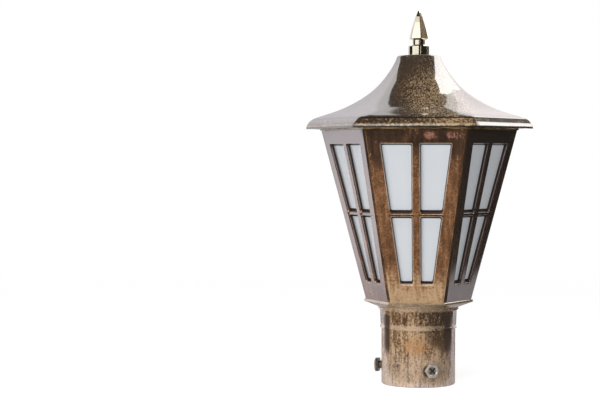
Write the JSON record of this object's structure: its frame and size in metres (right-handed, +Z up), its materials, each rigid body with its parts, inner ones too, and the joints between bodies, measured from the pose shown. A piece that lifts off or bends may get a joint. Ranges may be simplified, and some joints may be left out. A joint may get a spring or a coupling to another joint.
{
  "type": "pillar lantern",
  "caption": "Hexagonal pillar lantern with a pagoda roof, frosted panes in cast frames and a round post socket clamped by set bolts.",
  "frame": {"origin": "centre of the collar's bottom rim", "axes": "+Z up along the post; the front face looks along -Y and two corners lie on the X axis"},
  "size_m": [0.2268, 0.1976, 0.3735],
  "materials": {
    "antique_copper": "cast alloy with a rubbed antique copper finish",
    "frosted_glass": "white frosted glass",
    "bolt_steel": "yellow zinc plate",
    "zinc_steel": "bright zinc plate",
    "plain_brass": "plain brass",
    "polished_brass": "polished antique brass",
    "porcelain": "white glazed porcelain",
    "bulb_glass": "opal bulb glass",
    "grommet_rubber": "black rubber",
    "terminal_plastic": "moulded nylon"
  },
  "bodies": {
    "lantern": {"base_tray": "antique_copper", "bracket_screws": "zinc_steel", "bridge_bar": "zinc_steel", "bridge_screws": "zinc_steel", "bulb": "bulb_glass", "cable_grommet": "grommet_rubber", "collar": "antique_copper", "collar_screws": "zinc_steel", "finial": "polished_brass", "glass_pane_1": "frosted_glass", "glass_pane_2": "frosted_glass", "glass_pane_3": "frosted_glass", "glass_pane_4": "frosted_glass", "glass_pane_5": "frosted_glass", "glass_pane_6": "frosted_glass", "holder_body": "porcelain", "holder_bracket": "zinc_steel", "holder_contact": "plain_brass", "holder_nipple": "plain_brass", "holder_shell": "plain_brass", "nipple_nut": "plain_brass", "ring_screws": "zinc_steel", "roof": "antique_copper", "roof_stud": "zinc_steel", "side_panel_1": "antique_copper", "side_panel_2": "antique_copper", "side_panel_3": "antique_copper", "side_panel_4": "antique_copper", "side_panel_5": "antique_copper", "side_panel_6": "antique_copper", "stud_nuts": "zinc_steel", "terminal_block": "terminal_plastic", "top_ring": "antique_copper", "tray_screws": "zinc_steel"},
    "clamp_bolt_1": {"set_bolt_1": "bolt_steel"},
    "clamp_bolt_2": {"set_bolt_2": "bolt_steel"},
    "clamp_bolt_3": {"set_bolt_3": "bolt_steel"}
  },
  "joints": [
    {"name": "set_bolt_1_screw", "type": "slide", "parent": "lantern", "child": "clamp_bolt_1", "axis": [-0.3502, 0.9367, 0], "range_m": [-0.0025, 0.003]},
    {"name": "set_bolt_2_screw", "type": "slide", "parent": "lantern", "child": "clamp_bolt_2", "axis": [-0.6361, -0.7716, 0], "range_m": [-0.0025, 0.003]},
    {"name": "set_bolt_3_screw", "type": "slide", "parent": "lantern", "child": "clamp_bolt_3", "axis": [0.9863, -0.165, 0], "range_m": [-0.0025, 0.003]}
  ]
}
